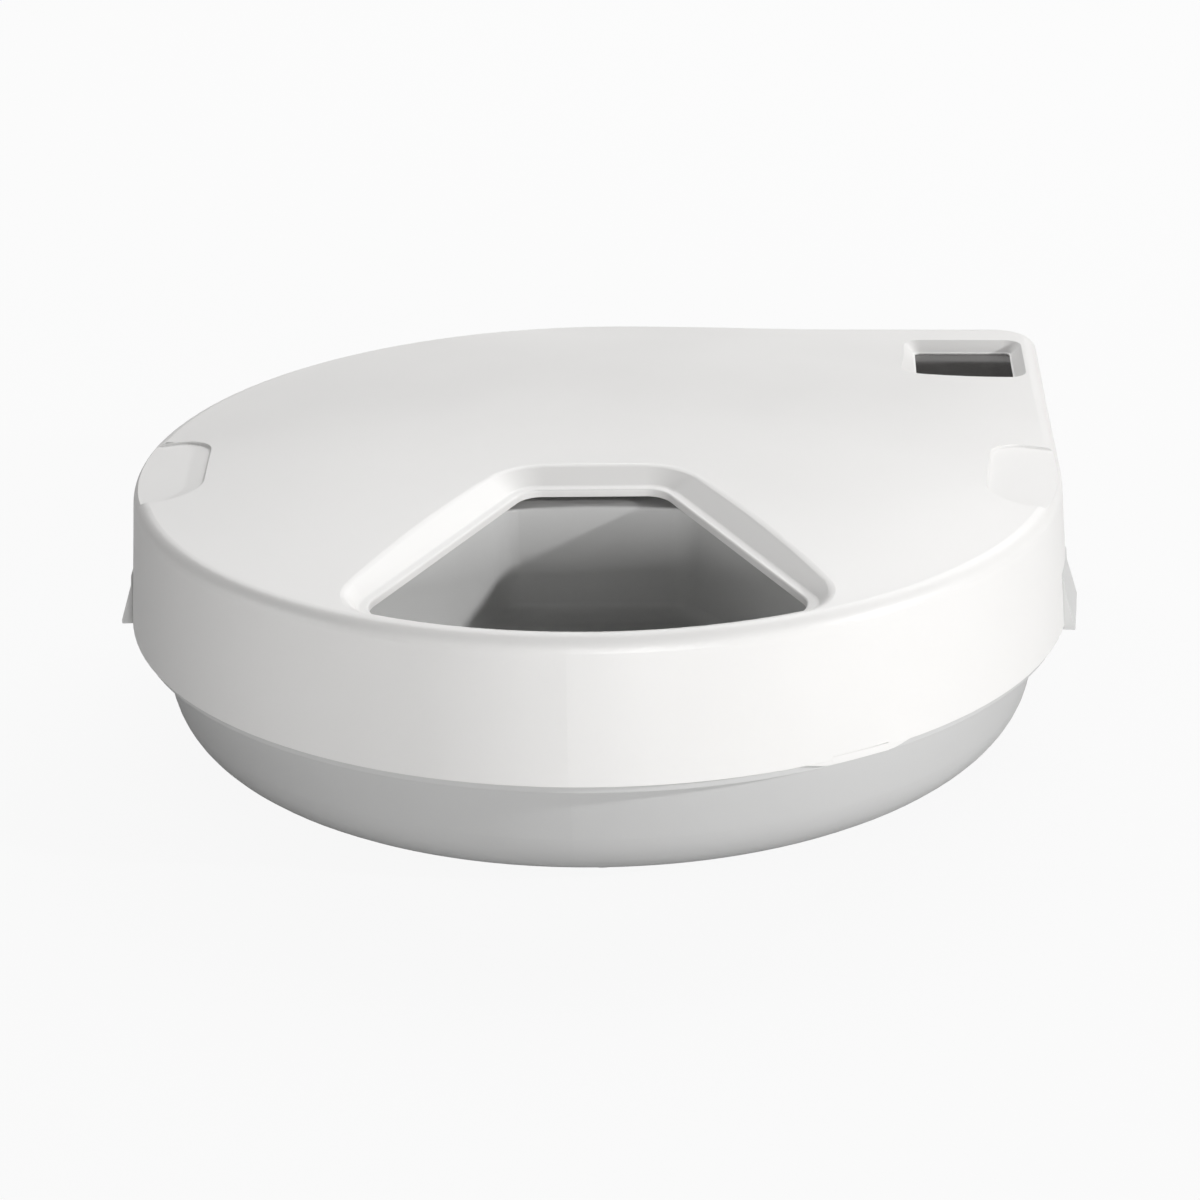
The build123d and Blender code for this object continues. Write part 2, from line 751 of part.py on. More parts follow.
def make_battery_contacts():
    plates = []
    for number in range(cell_count):
        x = battery_x + (number - (cell_count - 1) / 2) * cell_pitch
        for side in (-1, 1):
            y = side * (cell_length / 2 + seat_gap + contact_thickness / 2)
            plate = Box(contact_width, contact_thickness, contact_width)
            plates.append(Pos(x, y, cell_height) * plate)
    return Compound(plates)


def make_battery_door():
    half_x = battery_half_x + door_lap
    half_y = battery_half_y + door_lap
    door = block(battery_x - half_x, battery_x + half_x, -half_y, half_y,
                 foot_height, foot_height + door_thickness)
    for groove in range(grip_count):
        y = half_y - grip_from_end - groove * grip_pitch
        door -= block(battery_x - grip_length / 2, battery_x + grip_length / 2, y, y + grip_width,
                      foot_height - 1, foot_height + grip_depth)
    return door


def make_circuit_board():
    return pod_block(tray_wall + moving_gap, board_top - board_thickness, board_top)


def make_display_panel():
    return rounded_block(display_x, display_y, display_width, display_length, display_corner,
                         board_top, pod_top + display_proud)


def make_button(number):
    x = button_places[number]
    low = board_top + button_travel + button_air
    cap = ring(0, button_radius, low, pod_top + button_proud)
    cap = fillet(cap.edges().group_by(Axis.Z)[-1], button_edge)
    flange = ring(0, button_radius + button_flange, low, pod_top - tray_wall - button_air)
    return Pos(x, button_y) * (cap + flange)


def make_ice_pack(side):
    """Half ring filled with gel, lying in the tray's well."""
    slope = (well_radius - well_foot + tray_wall) / (tray_flange_top + 1 - tray_floor)
    low_radius = well_foot - tray_wall + slope * (ice_bottom - tray_floor) - ice_wall_gap
    high_radius = low_radius + slope * ice_height
    body = turned([(ice_inner, ice_bottom), (low_radius, ice_bottom),
                   (high_radius, ice_top), (ice_inner, ice_top)])
    reach = casing_radius
    half = block(ice_split / 2, reach, -reach, reach, 0, roof_apex)
    body &= half
    body = fillet(body.edges().filter_by(lambda e: e.bounding_box().size.Z < 0.01), ice_round)
    body -= Pos(ice_plug_circle, 0) * ring(0, ice_plug_radius + seat_gap,
                                           ice_top - ice_plug_depth, ice_top + 1)
    return Rot(0, 0, 90 - 90 * side) * body


def make_ice_plug(side):
    """Round plug that closes an ice pack's filling hole."""
    plug = Pos(ice_plug_circle, 0) * ring(0, ice_plug_radius,
                                          ice_top - ice_plug_depth + running_gap, ice_top)
    return Rot(0, 0, 90 - 90 * side) * plug


def make_bowl():
    foot = bowl_radius - bowl_depth * tan(radians(bowl_draft)) - bowl_skin * tan(radians(bowl_draft))
    blank = turned([(0, bowl_under), (foot, bowl_under), (bowl_radius, bowl_rim),
                    (bowl_hub_radius - bowl_hub_wall, bowl_top), (0, bowl_top)])
    blank = fillet(blank.edges().group_by(Axis.Z)[0], bowl_foot_round)
    # Five dished compartments between the hub and the outer wall
    top = bowl_top + 4
    spread = tan(radians(bowl_pocket_draft))
    outer = bowl_radius - bowl_rim_width - bowl_depth * spread
    inner = bowl_hub_radius + (bowl_top - bowl_floor) * spread / 2
    half = radians(180 / compartments)
    shift = bowl_divider / 2 / cos(half)
    reach = 2 * bowl_radius
    wedge = make_face(Polyline([(inner, -inner * tan(half) + shift), (reach, -reach * tan(half) + shift),
                                (reach, reach * tan(half) - shift), (inner, inner * tan(half) - shift)],
                               close=True))
    sector = wedge & Circle(outer)
    sector = fillet(sector.vertices(), bowl_pocket_corner)
    pocket = extrude(Pos(0, 0, bowl_floor) * sector, amount=top - bowl_floor, taper=-bowl_pocket_draft)
    pocket = fillet(pocket.faces().sort_by(Axis.Z)[0].edges(), bowl_pocket_floor_round)
    bowl = blank
    for number in range(compartments):
        bowl -= around(pocket, opening_angle + number * 360 / compartments)
    top_edges = [edge for edge in bowl.edges() if edge.bounding_box().min.Z > bowl_rim - 0.01]
    bowl = fillet(top_edges, bowl_edge)
    # Hollow hub with the socket that drops over the spindle's dog
    hub = bowl_hub_radius - bowl_hub_wall
    hollow = turned([(0, bowl_under - 1), (hub, bowl_under - 1), (hub - 1.5, bowl_top - bowl_hub_wall),
                     (0, bowl_top - bowl_hub_wall)])
    bowl -= hollow
    socket = ring(0, dog_flats / 2 + 4, spindle_shoulder + seat_gap, bowl_top - 1)
    for rib in range(compartments):
        fin = block(0, hub - 0.5, -0.8, 0.8, spindle_shoulder + 14, bowl_top - 1)
        socket += around(fin, opening_angle + (rib + 0.5) * 360 / compartments)
    bowl += socket
    hole = RegularPolygon(dog_flats / 2 + seat_gap, 6, major_radius=False)
    bowl -= extrude(Pos(0, 0, spindle_shoulder - 1) * hole, amount=dog_height + 2)
    return bowl


def make_catch(angle):
    """Catch that hangs over the tub's lip, with a flared finger edge at its foot."""
    slope = tan(radians(lid_draft))
    foot = tub_top - catch_hang
    inner = tray_flange_radius + moving_gap
    nib = casing_radius - tub_lip_inset + moving_gap
    step = tub_top + moving_gap
    start = foot + catch_tip_edge + catch_tip_slope
    points = [(inner, catch_pivot_height), (catch_face, catch_pivot_height),
              (casing_radius - (start - lid_bottom) * slope, start),
              (casing_radius + catch_tip, foot + catch_tip_edge),
              (casing_radius + catch_tip, foot),
              (nib, foot), (nib, step), (inner, step)]
    profile = make_face(Polyline([(x, 0, z) for x, z in points], close=True))
    plate = extrude(profile, amount=catch_width / 2, both=True)
    plate = fillet([edge for edge in plate.edges().filter_by(Axis.Y)
                    if edge.center().X > casing_radius + running_gap], catch_edge)
    catch = plate + catch_rod(catch_barrel, catch_width)
    catch -= catch_rod(catch_pin_radius + running_gap, catch_width + 2)
    return around(catch, angle)


def make_catch_pins():
    return Compound([around(catch_rod(catch_pin_radius, catch_pin_length), angle)
                     for angle in (thumb_angle, 180 - thumb_angle)])


def make_screws():
    screws = []
    for x, y in screw_places:
        head = ring(0, screw_head, screw_seat, screw_seat + screw_head_height)
        head = fillet(head.edges().group_by(Axis.Z)[0], screw_slot_width)
        cross = Box(screw_slot, screw_slot_width, screw_head_height)
        cross += Box(screw_slot_width, screw_slot, screw_head_height)
        slot = Pos(0, 0, screw_seat) * cross
        shank = ring(0, screw_shank, screw_seat + screw_head_height, tray_under - 2 * tray_wall)
        screws.append(Pos(x, y) * (head + shank - slot))
    return Compound(screws)


MAKERS = {
    "base_tub": make_base_tub,
    "feet": make_feet,
    "inner_tray": make_inner_tray,
    "pod_cover": make_pod_cover,
    "spindle_bush": make_spindle_bush,
    "gearbox_cover": make_gearbox_cover,
    "gear_pins": make_gear_pins,
    "motor": make_motor,
    "position_switch": make_position_switch,
    "battery_cells": make_battery_cells,
    "battery_contacts": make_battery_contacts,
    "circuit_board": make_circuit_board,
    "display_panel": make_display_panel,
    "screws": make_screws,
    "drive_spindle": make_drive_spindle,
    "spindle_gear": make_spindle_gear,
    "index_cam": make_index_cam,
    "gear_2": make_gear_2,
    "gear_1": make_gear_1,
    "motor_pinion": make_motor_pinion,
    "battery_door": make_battery_door,
    "bowl": make_bowl,
    "lid": make_lid,
    "display_window": make_display_window,
    "catch_pins": make_catch_pins,
}

os.makedirs("parts", exist_ok=True)
made = {name: maker() for name, maker in MAKERS.items()}
for number in range(button_count):
    made["button_" + str(number + 1)] = make_button(number)
made["ice_pack_right"] = make_ice_pack(1)
made["ice_pack_left"] = make_ice_pack(-1)
made["ice_plug_right"] = make_ice_plug(1)
made["ice_plug_left"] = make_ice_plug(-1)
made["catch_right"] = make_catch(thumb_angle)
made["catch_left"] = make_catch(180 - thumb_angle)

for name, shape in made.items():
    shape.label = name
    export_step(shape, "parts/" + name + ".step")
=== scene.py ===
import bmesh
import bpy
import math
from mathutils import Matrix, Vector


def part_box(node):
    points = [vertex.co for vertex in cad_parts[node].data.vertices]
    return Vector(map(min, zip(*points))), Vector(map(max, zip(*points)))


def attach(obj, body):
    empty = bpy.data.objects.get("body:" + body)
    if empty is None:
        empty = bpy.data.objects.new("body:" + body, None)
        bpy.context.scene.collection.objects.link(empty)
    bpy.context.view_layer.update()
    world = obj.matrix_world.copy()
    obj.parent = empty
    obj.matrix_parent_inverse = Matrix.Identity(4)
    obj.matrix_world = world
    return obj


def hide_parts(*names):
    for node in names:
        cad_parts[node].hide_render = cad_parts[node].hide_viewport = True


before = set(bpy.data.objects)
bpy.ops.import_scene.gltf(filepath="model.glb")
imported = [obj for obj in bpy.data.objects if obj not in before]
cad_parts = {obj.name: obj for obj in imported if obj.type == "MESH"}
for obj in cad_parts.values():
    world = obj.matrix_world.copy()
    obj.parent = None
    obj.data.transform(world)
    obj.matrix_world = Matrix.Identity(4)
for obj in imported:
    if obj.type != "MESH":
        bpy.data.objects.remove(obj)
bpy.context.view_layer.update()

# Camera: a long lens a metre away, a little to the right of the opening and some 22 degrees above
# the floor, rolled slightly so that the feeder leans to the left as it does in the photograph.
distance = 1.0
looked_at = Vector((0, 0, 0.0363))
turned = math.radians(3.8)
raised = math.radians(21.92)
rolled = math.radians(-1.07)
focal_pixels = 3357.0
frame_pixels = 1200.0
shift_up_pixels = 6.35
shift_right_pixels = -0.21
back = Vector((math.sin(turned) * math.cos(raised), -math.cos(turned) * math.cos(raised),
               math.sin(raised)))
lens = bpy.data.cameras.new("camera")
camera = bpy.data.objects.new("camera", lens)
bpy.context.scene.collection.objects.link(camera)
lens.sensor_width = 36.0
lens.lens = lens.sensor_width * focal_pixels / frame_pixels
lens.shift_x = -shift_right_pixels / frame_pixels
lens.shift_y = -shift_up_pixels / frame_pixels
lens.clip_start = 0.05
lens.clip_end = 50.0
across = Vector((math.cos(turned), math.sin(turned), 0))
above = back.cross(across)
camera_right = across * math.cos(rolled) + above * math.sin(rolled)
camera_up = above * math.cos(rolled) - across * math.sin(rolled)
facing = Matrix((camera_right, camera_up, back)).transposed().to_4x4()
camera.matrix_world = Matrix.Translation(looked_at + back * distance) @ facing
bpy.context.scene.camera = camera

# Base tub: the grey lower shell, injection moulded in polypropylene with a fine satin grain. Its
# side flares out to a lip for the tray, and the drive and the cells sit on its floor.


def moulded_plastic(name, colour, roughness, grain=0.0006, relief=0.00002):
    """A moulded plastic: a fine grain, slow cloudiness in the colour, uneven gloss, eased edges."""
    material = bpy.data.materials.new(name)
    material.use_nodes = True
    nodes = material.node_tree.nodes
    links = material.node_tree.links
    shader = nodes["Principled BSDF"]
    shader.inputs["IOR"].default_value = 1.49
    place = nodes.new("ShaderNodeTexCoord")
    clouds = nodes.new("ShaderNodeTexNoise")
    clouds.inputs["Scale"].default_value = 14.0
    clouds.inputs["Detail"].default_value = 3.0
    tint = nodes.new("ShaderNodeMix")
    tint.data_type = "RGBA"
    tint.inputs["A"].default_value = (*[0.965 * part for part in colour], 1)
    tint.inputs["B"].default_value = (*[min(1.0, 1.03 * part) for part in colour], 1)
    gloss = nodes.new("ShaderNodeMapRange")
    gloss.inputs["To Min"].default_value = 0.85 * roughness
    gloss.inputs["To Max"].default_value = 1.15 * roughness
    skin = nodes.new("ShaderNodeTexNoise")
    skin.inputs["Scale"].default_value = 1.0 / grain
    skin.inputs["Detail"].default_value = 4.0
    eased = nodes.new("ShaderNodeBevel")
    eased.samples = 4
    eased.inputs["Radius"].default_value = 0.0002
    bump = nodes.new("ShaderNodeBump")
    bump.inputs["Strength"].default_value = 0.5
    bump.inputs["Distance"].default_value = relief
    links.new(place.outputs["Object"], clouds.inputs["Vector"])
    links.new(place.outputs["Object"], skin.inputs["Vector"])
    links.new(clouds.outputs["Fac"], tint.inputs["Factor"])
    links.new(tint.outputs["Result"], shader.inputs["Base Color"])
    links.new(clouds.outputs["Fac"], gloss.inputs["Value"])
    links.new(gloss.outputs["Result"], shader.inputs["Roughness"])
    links.new(skin.outputs["Fac"], bump.inputs["Height"])
    links.new(eased.outputs["Normal"], bump.inputs["Normal"])
    links.new(bump.outputs["Normal"], shader.inputs["Normal"])
    return material


def dress(node, material):
    """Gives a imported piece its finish."""
    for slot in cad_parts[node].material_slots:
        slot.material = material


tub_plastic = moulded_plastic("tub_plastic", (0.58, 0.58, 0.576), 0.42)
dress("base_tub", tub_plastic)

# Feet: three pale rubber pads pushed into the tub's floor, each with a hollow underneath that grips
# the table. They are moulded, so every edge is rounded.


def clear_bench():
    """Leaves nothing selected."""
    bpy.ops.object.select_all(action="DESELECT")


def pick_faces(piece, wanted):
    """Selects, in edit mode, the faces whose middle and normal are wanted."""
    cage = bmesh.from_edit_mesh(piece.data)
    for face in cage.faces:
        face.select_set(False)
    for face in cage.faces:
        if wanted(face.calc_center_median(), face.normal):
            face.select_set(True)
    cage.select_flush_mode()
    bmesh.update_edit_mesh(piece.data)


def ease_edges(piece, width, turns=3, angle=30.0):
    """Rounds the piece's sharp edges with a bevel and smooths what lies between them."""
    rounding = piece.modifiers.new("rounding", "BEVEL")
    rounding.width = width
    rounding.segments = turns
    rounding.limit_method = "ANGLE"
    rounding.angle_limit = math.radians(angle)
    bpy.ops.object.modifier_apply(modifier=rounding.name)
    bpy.ops.object.shade_smooth_by_angle(angle=math.radians(angle))


foot_low, foot_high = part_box("feet")
foot_radius = 0.004
foot_rim = 0.0013
foot_hollow = 0.0005
foot_height = foot_high[2] - foot_low[2]
foot_start = math.radians(-86.5)
foot_reach = -foot_low[1] - foot_radius
foot_circle = foot_reach / abs(math.sin(foot_start))
clear_bench()
bpy.ops.mesh.primitive_cylinder_add(vertices=48, radius=foot_radius, depth=foot_height,
                                    location=(foot_circle, 0, foot_low[2] + foot_height / 2))
pad = bpy.context.object
pad.name = "rubber_feet"
bpy.ops.object.transform_apply(location=True, rotation=True, scale=True)
bpy.ops.object.mode_set(mode="EDIT")
pick_faces(pad, lambda middle, normal: normal.z < -0.9)
bpy.ops.mesh.inset(thickness=foot_rim)
bpy.ops.mesh.extrude_region_move(TRANSFORM_OT_translate={"value": (0, 0, foot_hollow)})
bpy.ops.object.mode_set(mode="OBJECT")
ease_edges(pad, 0.0004)
pads = [pad]
for number in (1, 2):
    twin = pad.copy()
    twin.data = pad.data.copy()
    bpy.context.scene.collection.objects.link(twin)
    twin.data.transform(Matrix.Rotation(foot_start + number * math.tau / 3, 4, "Z"))
    pads.append(twin)
pad.data.transform(Matrix.Rotation(foot_start, 4, "Z"))
clear_bench()
for one in pads:
    one.select_set(True)
bpy.context.view_layer.objects.active = pad
bpy.ops.object.join()
pad.data.materials.append(moulded_plastic("pale_rubber", (0.74, 0.74, 0.73), 0.6, grain=0.0004))
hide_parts("feet")
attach(pad, "base")

# Screws: four plated self-tapping screws with crossed slots. They are driven up through the tub's
# sunk pads into the tray's posts.


def plated_metal(name, colour, roughness, stretch=(1.0, 1.0, 1.0)):
    """A plated metal with fine drawn lines, and a tarnish that clouds its colour."""
    material = bpy.data.materials.new(name)
    material.use_nodes = True
    nodes = material.node_tree.nodes
    links = material.node_tree.links
    shader = nodes["Principled BSDF"]
    shader.inputs["Metallic"].default_value = 1.0
    place = nodes.new("ShaderNodeTexCoord")
    drawn = nodes.new("ShaderNodeMapping")
    drawn.inputs["Scale"].default_value = stretch
    lines = nodes.new("ShaderNodeTexNoise")
    lines.inputs["Scale"].default_value = 2500.0
    lines.inputs["Detail"].default_value = 3.0
    tarnish = nodes.new("ShaderNodeTexNoise")
    tarnish.inputs["Scale"].default_value = 160.0
    tarnish.inputs["Detail"].default_value = 5.0
    tint = nodes.new("ShaderNodeMix")
    tint.data_type = "RGBA"
    tint.inputs["A"].default_value = (*[0.82 * part for part in colour], 1)
    tint.inputs["B"].default_value = (*colour, 1)
    gloss = nodes.new("ShaderNodeMapRange")
    gloss.inputs["To Min"].default_value = 0.7 * roughness
    gloss.inputs["To Max"].default_value = 1.3 * roughness
    bump = nodes.new("ShaderNodeBump")
    bump.inputs["Strength"].default_value = 0.35
    bump.inputs["Distance"].default_value = 0.000012
    links.new(place.outputs["Object"], drawn.inputs["Vector"])
    links.new(drawn.outputs["Vector"], lines.inputs["Vector"])
    links.new(place.outputs["Object"], tarnish.inputs["Vector"])
    links.new(tarnish.outputs["Fac"], tint.inputs["Factor"])
    links.new(tint.outputs["Result"], shader.inputs["Base Color"])
    links.new(lines.outputs["Fac"], gloss.inputs["Value"])
    links.new(gloss.outputs["Result"], shader.inputs["Roughness"])
    links.new(lines.outputs["Fac"], bump.inputs["Height"])
    links.new(bump.outputs["Normal"], shader.inputs["Normal"])
    return material


bright_steel = plated_metal("bright_steel", (0.66, 0.66, 0.68), 0.28)
dress("screws", bright_steel)

# Cells and contacts: three standard dry cells side by side, pointing turn about. Each has a dark
# printed sleeve and a copper-coloured band towards its positive end. Sprung plates hold the ends.
cell_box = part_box("battery_cells")
cell_pitch = 0.015
cell_half = (cell_box[1][1] - cell_box[0][1]) / 2
sleeve = bpy.data.materials.new("cell_sleeve")
sleeve.use_nodes = True
sleeve_nodes = sleeve.node_tree.nodes
sleeve_links = sleeve.node_tree.links
sleeve_shader = sleeve_nodes["Principled BSDF"]
sleeve_shader.inputs["Roughness"].default_value = 0.3
sleeve_place = sleeve_nodes.new("ShaderNodeTexCoord")
sleeve_axes = sleeve_nodes.new("ShaderNodeSeparateXYZ")
cell_index = sleeve_nodes.new("ShaderNodeMath")
cell_index.operation = "MULTIPLY_ADD"
cell_index.inputs[1].default_value = 0.5 / cell_pitch
cell_index.inputs[2].default_value = -0.5 * cell_box[0][0] / cell_pitch
half_turns = sleeve_nodes.new("ShaderNodeMath")
half_turns.operation = "FRACT"
pointing = sleeve_nodes.new("ShaderNodeMath")
pointing.operation = "GREATER_THAN"
pointing.inputs[1].default_value = 0.5
sense = sleeve_nodes.new("ShaderNodeMapRange")
sense.inputs["To Min"].default_value = -1.0 / cell_half
sense.inputs["To Max"].default_value = 1.0 / cell_half
along = sleeve_nodes.new("ShaderNodeMath")
along.operation = "MULTIPLY"
bands = sleeve_nodes.new("ShaderNodeValToRGB")
bands.color_ramp.interpolation = "CONSTANT"
bands.color_ramp.elements[0].position = 0.0
bands.color_ramp.elements[0].color = (0.62, 0.62, 0.62, 1)
bands.color_ramp.elements[1].position = 0.02
bands.color_ramp.elements[1].color = (0.030, 0.032, 0.036, 1)
copper_band = bands.color_ramp.elements.new(0.70)
copper_band.color = (0.55, 0.25, 0.10, 1)
bare_end = bands.color_ramp.elements.new(0.965)
bare_end.color = (0.62, 0.62, 0.62, 1)
ramp_scale = sleeve_nodes.new("ShaderNodeMapRange")
ramp_scale.inputs["From Min"].default_value = -1.0
ramp_scale.inputs["From Max"].default_value = 1.0
sleeve_film = sleeve_nodes.new("ShaderNodeTexNoise")
sleeve_film.inputs["Scale"].default_value = 220.0
sleeve_bump = sleeve_nodes.new("ShaderNodeBump")
sleeve_bump.inputs["Strength"].default_value = 0.3
sleeve_bump.inputs["Distance"].default_value = 0.00003
sleeve_links.new(sleeve_place.outputs["Object"], sleeve_axes.inputs["Vector"])
sleeve_links.new(sleeve_axes.outputs["X"], cell_index.inputs[0])
sleeve_links.new(cell_index.outputs["Value"], half_turns.inputs[0])
sleeve_links.new(half_turns.outputs["Value"], pointing.inputs[0])
sleeve_links.new(pointing.outputs["Value"], sense.inputs["Value"])
sleeve_links.new(sleeve_axes.outputs["Y"], along.inputs[0])
sleeve_links.new(sense.outputs["Result"], along.inputs[1])
sleeve_links.new(along.outputs["Value"], ramp_scale.inputs["Value"])
sleeve_links.new(ramp_scale.outputs["Result"], bands.inputs["Fac"])
sleeve_links.new(bands.outputs["Color"], sleeve_shader.inputs["Base Color"])
sleeve_links.new(sleeve_place.outputs["Object"], sleeve_film.inputs["Vector"])
sleeve_links.new(sleeve_film.outputs["Fac"], sleeve_bump.inputs["Height"])
sleeve_links.new(sleeve_bump.outputs["Normal"], sleeve_shader.inputs["Normal"])
dress("battery_cells", sleeve)
dress("battery_contacts", plated_metal("contact_nickel", (0.70, 0.68, 0.64), 0.32, (1, 1, 0.1)))

# Battery door: a flat cover of the tub's own plastic that slides in a recess under the floor, with
# five moulded grip grooves for a thumb.
dress("battery_door", tub_plastic)

# Motor: a flat plated can held in a collar on the floor, its shaft pointing up. The pinion on the
# shaft is moulded in natural acetal, as all the wheels are.
dress("motor", plated_metal("motor_can", (0.60, 0.60, 0.62), 0.34, (1, 1, 0.05)))
gear_acetal = moulded_plastic("gear_acetal", (0.78, 0.765, 0.70), 0.36, grain=0.0004)
dress("motor_pinion", gear_acetal)

# Gear train: two compound gears turn on steel pins, and the second drives the large wheel on the
# spindle. The wheel, its cam and the spindle are keyed together.
for wheel in ("gear_1", "gear_2", "spindle_gear", "index_cam", "drive_spindle"):
    dress(wheel, gear_acetal)
dress("gear_pins", bright_steel)

# Gearbox cover and position switch: black glass-filled nylon. The cover holds the tops of the pins,
# and the switch's roller drops into the cam's notches, one for each compartment.
black_nylon = moulded_plastic("black_nylon", (0.045, 0.045, 0.047), 0.5, relief=0.00003)
dress("gearbox_cover", black_nylon)
dress("position_switch", black_nylon)

# Inner tray and timer pod: a second grey moulding closes the tub and holds the ice packs in a well.
# The pod on its corner is a separate cover over the timer.
tray_plastic = moulded_plastic("tray_plastic", (0.43, 0.43, 0.425), 0.45)
dress("inner_tray", tray_plastic)
dress("pod_cover", tray_plastic)

# Spindle bush: a plain bush turned from brass and pressed into the tray's boss. The spindle turns in
# it, and it takes the bowl's weight.
dress("spindle_bush", plated_metal("bush_brass", (0.74, 0.56, 0.26), 0.30, (1, 1, 0.05)))

# Circuit board: glass-epoxy laminate under green solder mask, with rows of tinned pads. It lies
# under the pod's roof and carries the display and the buttons' switches.
board = bpy.data.materials.new("board_green")
board.use_nodes = True
board_nodes = board.node_tree.nodes
board_links = board.node_tree.links
board_shader = board_nodes["Principled BSDF"]
board_shader.inputs["Roughness"].default_value = 0.3
board_place = board_nodes.new("ShaderNodeTexCoord")
pad_rows = board_nodes.new("ShaderNodeTexBrick")
pad_rows.offset = 0.0
pad_rows.inputs["Scale"].default_value = 400.0
pad_rows.inputs["Mortar Size"].default_value = 0.16
pad_rows.inputs["Color1"].default_value = (1, 1, 1, 1)
pad_rows.inputs["Color2"].default_value = (1, 1, 1, 1)
pad_rows.inputs["Mortar"].default_value = (0, 0, 0, 1)
tracks = board_nodes.new("ShaderNodeTexVoronoi")
tracks.feature = "DISTANCE_TO_EDGE"
tracks.inputs["Scale"].default_value = 220.0
track_line = board_nodes.new("ShaderNodeMath")
track_line.operation = "LESS_THAN"
track_line.inputs[1].default_value = 0.06
mask_tint = board_nodes.new("ShaderNodeMix")
mask_tint.data_type = "RGBA"
mask_tint.inputs["A"].default_value = (0.012, 0.10, 0.045, 1)
mask_tint.inputs["B"].default_value = (0.03, 0.17, 0.08, 1)
board_bump = board_nodes.new("ShaderNodeBump")
board_bump.inputs["Strength"].default_value = 0.4
board_bump.inputs["Distance"].default_value = 0.00004
board_links.new(board_place.outputs["Object"], tracks.inputs["Vector"])
board_links.new(board_place.outputs["Object"], pad_rows.inputs["Vector"])
board_links.new(tracks.outputs["Distance"], track_line.inputs[0])
board_links.new(track_line.outputs["Value"], mask_tint.inputs["Factor"])
board_links.new(mask_tint.outputs["Result"], board_shader.inputs["Base Color"])
board_links.new(pad_rows.outputs["Fac"], board_bump.inputs["Height"])
board_links.new(board_bump.outputs["Normal"], board_shader.inputs["Normal"])
dress("circuit_board", board)

# Display: a liquid crystal panel in a black frame, standing through the pod's roof. The glass lies
# a little below the frame and shows blank grey-green when it is off.
panel_low, panel_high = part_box("display_panel")
panel_size = [high - low for low, high in zip(panel_low, panel_high)]
panel_middle = [(high + low) / 2 for low, high in zip(panel_low, panel_high)]
frame_width = 0.0014
glass_bevel = 0.0004
glass_depth = 0.0005
clear_bench()
bpy.ops.mesh.primitive_cube_add(size=1.0, location=panel_middle, scale=panel_size)
display = bpy.context.object
display.name = "display_module"
bpy.ops.object.transform_apply(location=True, rotation=True, scale=True)
bpy.ops.object.mode_set(mode="EDIT")
pick_faces(display, lambda middle, normal: normal.z > 0.9)
bpy.ops.mesh.inset(thickness=frame_width)
bpy.ops.mesh.inset(thickness=glass_bevel, depth=-glass_depth)
bpy.ops.object.mode_set(mode="OBJECT")
display.data.materials.append(moulded_plastic("display_frame", (0.02, 0.02, 0.021), 0.4))
crystal = bpy.data.materials.new("crystal_glass")
crystal.use_nodes = True
crystal_nodes = crystal.node_tree.nodes
crystal_links = crystal.node_tree.links
crystal_shader = crystal_nodes["Principled BSDF"]
crystal_shader.inputs["Roughness"].default_value = 0.12
crystal_shader.inputs["Coat Weight"].default_value = 0.4
crystal_place = crystal_nodes.new("ShaderNodeTexCoord")
electrodes = crystal_nodes.new("ShaderNodeTexWave")
electrodes.inputs["Scale"].default_value = 700.0
electrodes.inputs["Distortion"].default_value = 0.0
crystal_tint = crystal_nodes.new("ShaderNodeMix")
crystal_tint.data_type = "RGBA"
crystal_tint.inputs["A"].default_value = (0.21, 0.225, 0.20, 1)
crystal_tint.inputs["B"].default_value = (0.25, 0.265, 0.235, 1)
crystal_links.new(crystal_place.outputs["Object"], electrodes.inputs["Vector"])
crystal_links.new(electrodes.outputs["Fac"], crystal_tint.inputs["Factor"])
crystal_links.new(crystal_tint.outputs["Result"], crystal_shader.inputs["Base Color"])
display.data.materials.append(crystal)
glass_level = panel_high[2] - 0.0004
for face in display.data.polygons:
    if face.normal.z > 0.9 and face.center.z < glass_level:
        face.material_index = 1
ease_edges(display, 0.0002, turns=2)
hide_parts("display_panel")
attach(display, "base")

# Buttons: four grey silicone caps in a row behind the display. Each is dished on top for a
# fingertip and has a flange that keeps it under the pod's roof.
button_rubber = moulded_plastic("button_rubber", (0.16, 0.16, 0.17), 0.55, grain=0.0004)
flange_width = 0.001
cap_height = 0.0038
dish_rings = ((0.0009, 0.0), (0.0008, -0.0002), (0.0008, -0.0001))
for number in range(1, 5):
    node = "button_%d" % number
    low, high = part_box(node)
    middle_x = (low[0] + high[0]) / 2
    middle_y = (low[1] + high[1]) / 2
    flange_radius = (high[0] - low[0]) / 2
    flange_top = high[2] - cap_height
    clear_bench()
    bpy.ops.mesh.primitive_cylinder_add(vertices=48, radius=flange_radius,
                                        depth=flange_top - low[2],
                                        location=(middle_x, middle_y, (flange_top + low[2]) / 2))
    cap = bpy.context.object
    cap.name = "button_cap_%d" % number
    bpy.ops.object.transform_apply(location=True, rotation=True, scale=True)
    bpy.ops.object.mode_set(mode="EDIT")
    pick_faces(cap, lambda middle, normal: normal.z > 0.9)
    bpy.ops.mesh.inset(thickness=flange_width)
    bpy.ops.mesh.extrude_region_move(TRANSFORM_OT_translate={"value": (0, 0, cap_height)})
    for ring_width, ring_drop in dish_rings:
        bpy.ops.mesh.inset(thickness=ring_width, depth=ring_drop)
    bpy.ops.object.mode_set(mode="OBJECT")
    ease_edges(cap, 0.0004, angle=40.0)
    cap.data.materials.append(button_rubber)
    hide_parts(node)
    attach(cap, node)

